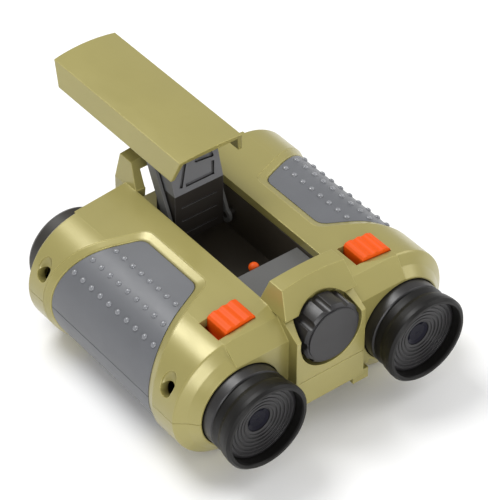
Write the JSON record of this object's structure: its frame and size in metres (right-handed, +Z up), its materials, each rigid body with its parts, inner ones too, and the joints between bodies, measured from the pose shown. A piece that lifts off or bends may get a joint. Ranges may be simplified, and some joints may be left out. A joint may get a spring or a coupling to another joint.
{
  "type": "binoculars",
  "caption": "Toy opera-type binoculars with centre focus wheel, rubber side grips, slide switches and a pop-up lamp under a raised lid.",
  "frame": {"origin": "on the resting plane under the middle of the whole object with the lid popped up", "axes": "+X across to the right as the user looks through, +Y from eyepieces to objectives, +Z up"},
  "size_m": [0.1146, 0.1495, 0.077],
  "materials": {
    "khaki_gold_plastic": "satin moulded plastic, khaki with a faint metallic sheen",
    "grey_grip_rubber": "soft matt rubber",
    "charcoal_plastic": "satin",
    "black_plastic": "satin",
    "eyecup_rubber": "satin",
    "orange_plastic": "semi-gloss",
    "clear_lens": "clear",
    "grey_plastic": "satin",
    "chromed_plastic": "bright",
    "led_epoxy": "clear epoxy",
    "steel": "plain",
    "cell_steel": "plain",
    "brass_contact": "plain"
  },
  "bodies": {
    "casing": {"arm_pivot_pin": "steel", "battery_contact": "brass_contact", "battery_door": "khaki_gold_plastic", "battery_tray": "black_plastic", "button_cells": "cell_steel", "casing_screws": "steel", "channel_liner": "black_plastic", "lens_retainer_left": "black_plastic", "lens_retainer_right": "black_plastic", "link_pivot_studs": "black_plastic", "lower_casing": "khaki_gold_plastic", "lower_grip_left": "grey_grip_rubber", "lower_grip_right": "grey_grip_rubber", "mechanism_cover": "grey_plastic", "objective_lens_left": "clear_lens", "objective_lens_right": "clear_lens", "objective_ring_left": "black_plastic", "objective_ring_right": "black_plastic", "switch_contacts": "black_plastic", "upper_casing": "khaki_gold_plastic", "upper_grip_left": "grey_grip_rubber", "upper_grip_right": "grey_grip_rubber"},
    "eyepiece_carriage": {"eye_lens_left": "clear_lens", "eye_lens_right": "clear_lens", "eyecup_left": "eyecup_rubber", "eyecup_right": "eyecup_rubber", "eyepiece_tube_left": "charcoal_plastic", "eyepiece_tube_right": "charcoal_plastic", "focus_yoke": "black_plastic"},
    "focus_wheel": {"focus_knob": "charcoal_plastic", "focus_screw": "steel"},
    "lamp_arm_body": {"lamp_arm": "black_plastic", "lamp_bezel": "chromed_plastic", "lamp_reflector": "chromed_plastic", "lamp_led": "led_epoxy", "lamp_glass": "clear_lens", "lid_pivot_pin": "steel"},
    "lid_body": {"lid": "khaki_gold_plastic"},
    "link_left_body": {"follower_link_left": "grey_plastic"},
    "link_right_body": {"follower_link_right": "grey_plastic"},
    "release_body": {"release_slider": "orange_plastic"},
    "lamp_switch_body": {"lamp_slider": "orange_plastic"}
  },
  "joints": [
    {"name": "lamp_arm_pivot", "type": "hinge", "parent": "casing", "child": "lamp_arm_body", "pos_m": [0, 0.0133, 0.0365], "axis": [1, 0, 0], "range_deg": [0, 90]},
    {"name": "lid_pivot", "type": "hinge", "parent": "lamp_arm_body", "child": "lid_body", "pos_m": [0, 0.0284, 0.0694], "axis": [1, 0, 0], "range_deg": [-90, 0]},
    {"name": "left_link_pivot", "type": "hinge", "parent": "casing", "child": "link_left_body", "pos_m": [-0.0113, 0.0073, 0.0375], "axis": [1, 0, 0], "range_deg": [0, 90]},
    {"name": "right_link_pivot", "type": "hinge", "parent": "casing", "child": "link_right_body", "pos_m": [0.0113, 0.0073, 0.0375], "axis": [1, 0, 0], "range_deg": [0, 90]},
    {"name": "focus_turn", "type": "hinge", "parent": "casing", "child": "focus_wheel", "pos_m": [0, -0.0607, 0.0404], "axis": [0, 1, 0], "range_deg": [-180, 180]},
    {"name": "eyepiece_slide", "type": "slide", "parent": "casing", "child": "eyepiece_carriage", "axis": [0, 1, 0], "range_m": [-0.0025, 0.0025]},
    {"name": "release_slide", "type": "slide", "parent": "casing", "child": "release_body", "axis": [-1, 0, 0], "range_m": [0, 0.0026]},
    {"name": "lamp_switch_slide", "type": "slide", "parent": "casing", "child": "lamp_switch_body", "axis": [-1, 0, 0], "range_m": [0, 0.0024]}
  ],
  "couplings": [
    {"joint": "lid_pivot", "follows": "lamp_arm_pivot", "ratio": -1},
    {"joint": "left_link_pivot", "follows": "lamp_arm_pivot", "ratio": 1},
    {"joint": "right_link_pivot", "follows": "lamp_arm_pivot", "ratio": 1},
    {"joint": "focus_turn", "follows": "eyepiece_slide", "rad_per_m": 1256.6}
  ]
}
